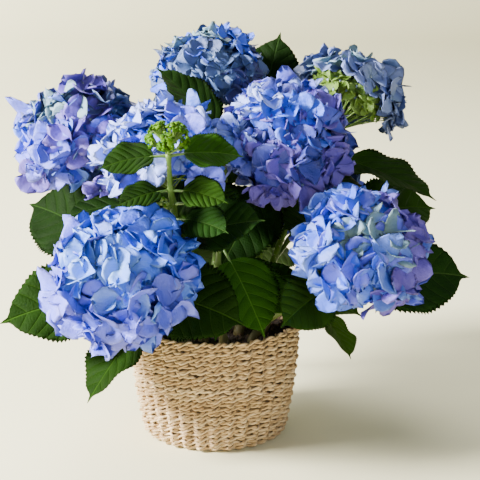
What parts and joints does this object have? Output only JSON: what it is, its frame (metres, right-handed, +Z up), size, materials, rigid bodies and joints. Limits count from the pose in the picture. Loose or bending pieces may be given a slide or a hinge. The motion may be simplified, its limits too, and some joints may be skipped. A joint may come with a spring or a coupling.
{
  "type": "potted hydrangea",
  "caption": "Mophead hydrangea in a woven basket: green canes, broad leaves in opposite pairs, rounded blue flower heads on all sides and a young green bud cluster in front.",
  "frame": {"origin": "centre of the basket's flat underside", "axes": "+Z up out of the pot, -Y towards the front, where the bud cluster stands, +X to the right as seen from the front"},
  "size_m": [0.5366, 0.5301, 0.4595],
  "materials": {
    "basket": "matte twisted paper and straw rope",
    "potting_mix": "rough dark crumbs",
    "canes": "smooth green with pale specks",
    "leaves": "leathery, half gloss, pale veins",
    "blossom": "soft matte petals with a faint sheen",
    "buds": "soft matte"
  },
  "bodies": {
    "root": {"basket": "basket", "potting_mix": "potting_mix", "cane_side_left": "canes", "leaves_side_left": "leaves", "cane_side_right": "canes", "leaves_side_right": "leaves", "cane_bud": "canes", "leaves_bud": "leaves", "buds_bud": "buds", "cane_middle": "canes", "leaves_middle": "leaves", "cane_upper": "canes", "leaves_upper": "leaves", "cane_front_left": "canes", "leaves_front_left": "leaves", "bloom_front_left": "blossom", "cane_front_right": "canes", "leaves_front_right": "leaves", "bloom_front_right": "blossom", "cane_centre_right": "canes", "leaves_centre_right": "leaves", "bloom_centre_right": "blossom", "cane_centre_left": "canes", "leaves_centre_left": "leaves", "bloom_centre_left": "blossom", "cane_left": "canes", "leaves_left": "leaves", "bloom_left": "blossom", "cane_top": "canes", "leaves_top": "leaves", "bloom_top": "blossom", "cane_right": "canes", "leaves_right": "leaves", "bloom_right": "blossom", "cane_back_left": "canes", "leaves_back_left": "leaves", "bloom_back_left": "blossom", "cane_back_right": "canes", "leaves_back_right": "leaves", "bloom_back_right": "blossom", "cane_front": "canes", "leaves_front": "leaves", "cane_back": "canes", "leaves_back": "leaves"}
  },
  "joints": []
}
